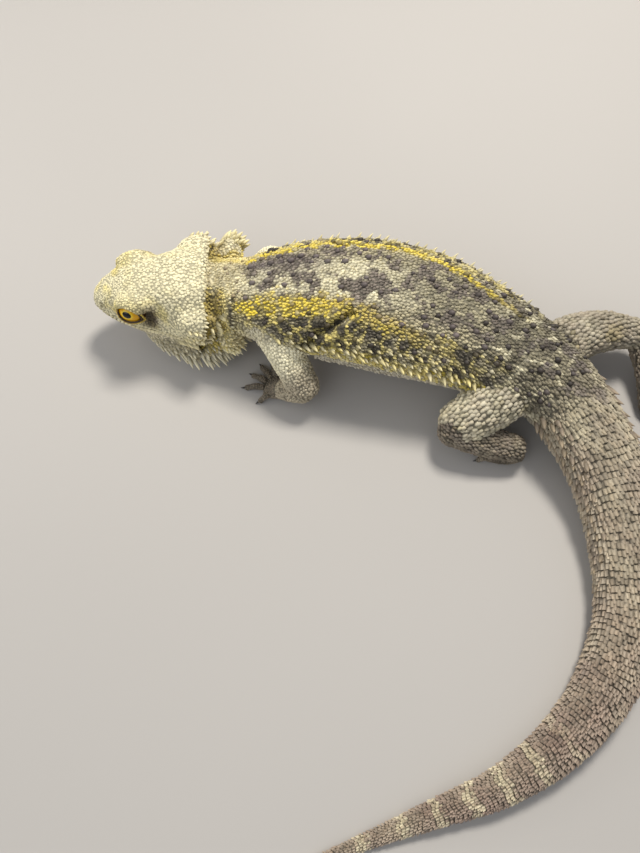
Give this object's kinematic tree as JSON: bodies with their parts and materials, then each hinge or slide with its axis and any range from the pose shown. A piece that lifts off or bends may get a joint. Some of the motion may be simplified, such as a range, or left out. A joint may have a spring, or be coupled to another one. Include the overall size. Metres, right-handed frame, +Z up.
{
  "type": "bearded dragon figure",
  "caption": "Life-size still model of a standing bearded dragon lizard with a spiny beard, spiny flanks and a tail curled to one side.",
  "frame": {"origin": "middle of the bounding box's underside, on the floor", "axes": "+Z up; the animal looks along -X, its left flank faces -Y, and its tail curls towards -Y"},
  "size_m": [0.2794, 0.2708, 0.0513],
  "materials": {
    "head_skin": "matt pale yellow scales",
    "beard_skin": "matt cream scales and white spines",
    "trunk_skin": "matt grey, yellow and black scales",
    "limb_skin": "matt grey-cream keeled scales",
    "tail_skin": "matt ringed grey-brown scales",
    "claw": "dark horn",
    "eye": "wet gold eye"
  },
  "bodies": {
    "root": {"belly": "trunk_skin", "chest": "trunk_skin", "claw_foot_left_1": "claw", "claw_foot_left_2": "claw", "claw_foot_left_3": "claw", "claw_foot_left_4": "claw", "claw_foot_left_5": "claw", "claw_foot_right_1": "claw", "claw_foot_right_2": "claw", "claw_foot_right_3": "claw", "claw_foot_right_4": "claw", "claw_foot_right_5": "claw", "claw_hand_left_1": "claw", "claw_hand_left_2": "claw", "claw_hand_left_3": "claw", "claw_hand_left_4": "claw", "claw_hand_left_5": "claw", "claw_hand_right_1": "claw", "claw_hand_right_2": "claw", "claw_hand_right_3": "claw", "claw_hand_right_4": "claw", "claw_hand_right_5": "claw", "eye_left": "eye", "eye_right": "eye", "foot_left": "limb_skin", "foot_right": "limb_skin", "forearm_left": "limb_skin", "forearm_right": "limb_skin", "hand_left": "limb_skin", "hand_right": "limb_skin", "head": "head_skin", "jaw_and_beard": "beard_skin", "neck": "trunk_skin", "pelvis": "trunk_skin", "shank_left": "limb_skin", "shank_right": "limb_skin", "tail_1": "tail_skin", "tail_2": "tail_skin", "tail_3": "tail_skin", "tail_4": "tail_skin", "tail_5": "tail_skin", "thigh_left": "limb_skin", "thigh_right": "limb_skin", "upper_arm_left": "limb_skin", "upper_arm_right": "limb_skin"}
  },
  "joints": []
}
